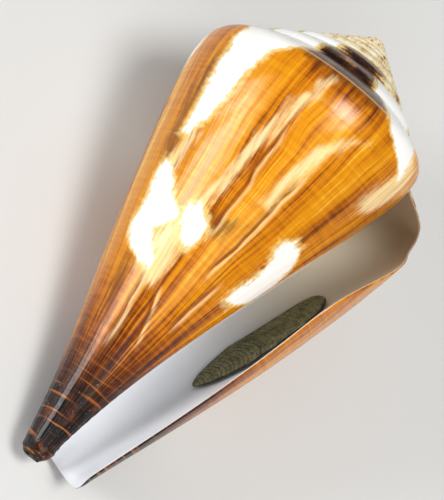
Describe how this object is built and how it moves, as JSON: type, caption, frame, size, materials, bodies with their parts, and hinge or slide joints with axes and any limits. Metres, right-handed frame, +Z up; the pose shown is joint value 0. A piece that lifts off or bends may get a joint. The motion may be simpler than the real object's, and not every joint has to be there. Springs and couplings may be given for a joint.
{
  "type": "cone shell with operculum",
  "caption": "Large cone-shaped sea snail shell lying aperture up, with a low stepped spire, a long narrow aperture and a horny operculum inside the lip.",
  "frame": {"origin": "on the ground, under the centre of the bounding box of the shell as it lies on its back", "axes": "+X along the shell toward the apex, seen from above; +Z up, out of the side that carries the aperture; the outer lip lies toward -Y"},
  "size_m": [0.0956, 0.0528, 0.0494],
  "materials": {
    "shell": "polished natural shell, amber brown with white blotches and a near black base, glossy bluish white inside",
    "operculum": "dull olive grey horn with dark growth lines"
  },
  "bodies": {
    "root": {"shell": "shell", "operculum": "operculum"}
  },
  "joints": []
}
